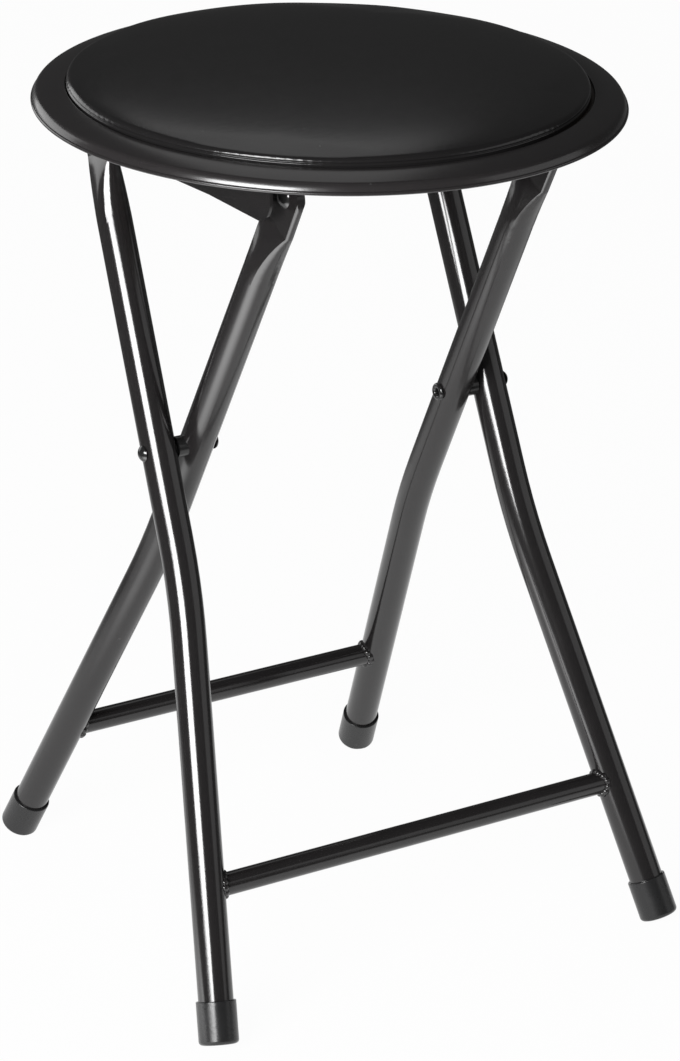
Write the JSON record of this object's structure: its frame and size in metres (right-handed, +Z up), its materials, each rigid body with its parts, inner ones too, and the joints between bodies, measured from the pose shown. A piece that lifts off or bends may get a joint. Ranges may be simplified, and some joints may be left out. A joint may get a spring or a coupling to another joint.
{
  "type": "folding stool",
  "caption": "Round padded folding stool on crossed bent-tube legs; the seat hinges at the front and hooks over a rod at the back.",
  "frame": {"origin": "on the floor under the middle of the seat", "axes": "+X along the scissor pivot axis to the sitter's left as seen from the front, -Y towards the hinged front of the seat, +Z up"},
  "size_m": [0.3, 0.3, 0.459],
  "materials": {
    "frame_paint": "gloss black powder coat on steel tube",
    "bracket_paint": "satin black paint on pressed sheet steel",
    "rivet_paint": "black paint on steel rivets and rod, rubbed at the edges",
    "spacer_plastic": "moulded black bush",
    "foot_cap": "moulded soft black plastic",
    "screw_steel": "zinc-plated screws",
    "seat_rim": "satin black moulded edge ring",
    "seat_cover": "smooth black imitation leather with fine grain",
    "seat_foam": "open-cell foam, hidden",
    "seat_board": "black-stained fibreboard"
  },
  "bodies": {
    "inner_frame": {"inner_foot_cap_left": "foot_cap", "inner_foot_cap_right": "foot_cap", "inner_leg_left": "frame_paint", "inner_leg_right": "frame_paint", "inner_stretcher": "frame_paint", "pivot_rivet_left": "rivet_paint", "pivot_rivet_right": "rivet_paint", "pivot_spacer_left": "spacer_plastic", "pivot_spacer_right": "spacer_plastic"},
    "outer_frame": {"lock_rod": "rivet_paint", "outer_foot_cap_left": "foot_cap", "outer_foot_cap_right": "foot_cap", "outer_leg_left": "frame_paint", "outer_leg_right": "frame_paint", "outer_stretcher": "frame_paint"},
    "seat": {"bracket_screws_left": "screw_steel", "bracket_screws_right": "screw_steel", "hinge_rivet_left": "rivet_paint", "hinge_rivet_right": "rivet_paint", "hinge_washer_left": "rivet_paint", "hinge_washer_right": "rivet_paint", "seat_board": "seat_board", "seat_bracket_left": "bracket_paint", "seat_bracket_right": "bracket_paint", "seat_cover": "seat_cover", "seat_foam": "seat_foam", "seat_rim": "seat_rim"}
  },
  "joints": [
    {"name": "scissor_fold", "type": "hinge", "parent": "inner_frame", "child": "outer_frame", "pos_m": [0, -0.0043, 0.2726], "axis": [1, 0, 0], "range_deg": [0, 46]},
    {"name": "seat_hinge", "type": "hinge", "parent": "inner_frame", "child": "seat", "pos_m": [0, -0.08196, 0.427], "axis": [1, 0, 0], "range_deg": [0, 110.4]}
  ],
  "couplings": [
    {"joint": "seat_hinge", "follows": "scissor_fold", "ratio": 2.4}
  ]
}
